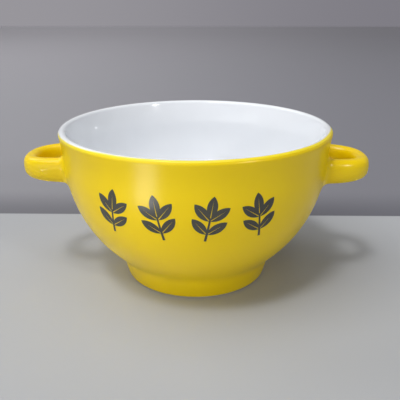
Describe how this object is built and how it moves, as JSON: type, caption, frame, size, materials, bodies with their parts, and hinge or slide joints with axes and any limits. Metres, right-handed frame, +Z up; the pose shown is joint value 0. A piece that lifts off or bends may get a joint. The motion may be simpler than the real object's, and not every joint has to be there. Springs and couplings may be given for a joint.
{
  "type": "soup mug",
  "caption": "Wide round soup mug on a foot ring, yellow outside and white inside, with a finger loop on each side and dark leaf sprigs on the front.",
  "frame": {"origin": "centre of the foot ring at table height", "axes": "+Z up along the bowl's axis, +X towards the right handle, and the printed front faces -Y"},
  "size_m": [0.1772, 0.136, 0.0795],
  "materials": {
    "clay": "matte",
    "slip": "matte",
    "white_gloss_glaze": "gloss",
    "yellow_satin_glaze": "satin",
    "dark_print": "satin"
  },
  "bodies": {
    "root": {"bowl_body": "clay", "foot_ring": "clay", "foot_slip_joint": "slip", "left_handle": "clay", "right_handle": "clay", "left_front_slip_joint": "slip", "left_rear_slip_joint": "slip", "right_front_slip_joint": "slip", "right_rear_slip_joint": "slip", "white_lining": "white_gloss_glaze", "bowl_coat": "yellow_satin_glaze", "left_handle_coat": "yellow_satin_glaze", "right_handle_coat": "yellow_satin_glaze", "recess_glaze": "white_gloss_glaze", "front_print": "dark_print"}
  },
  "joints": []
}
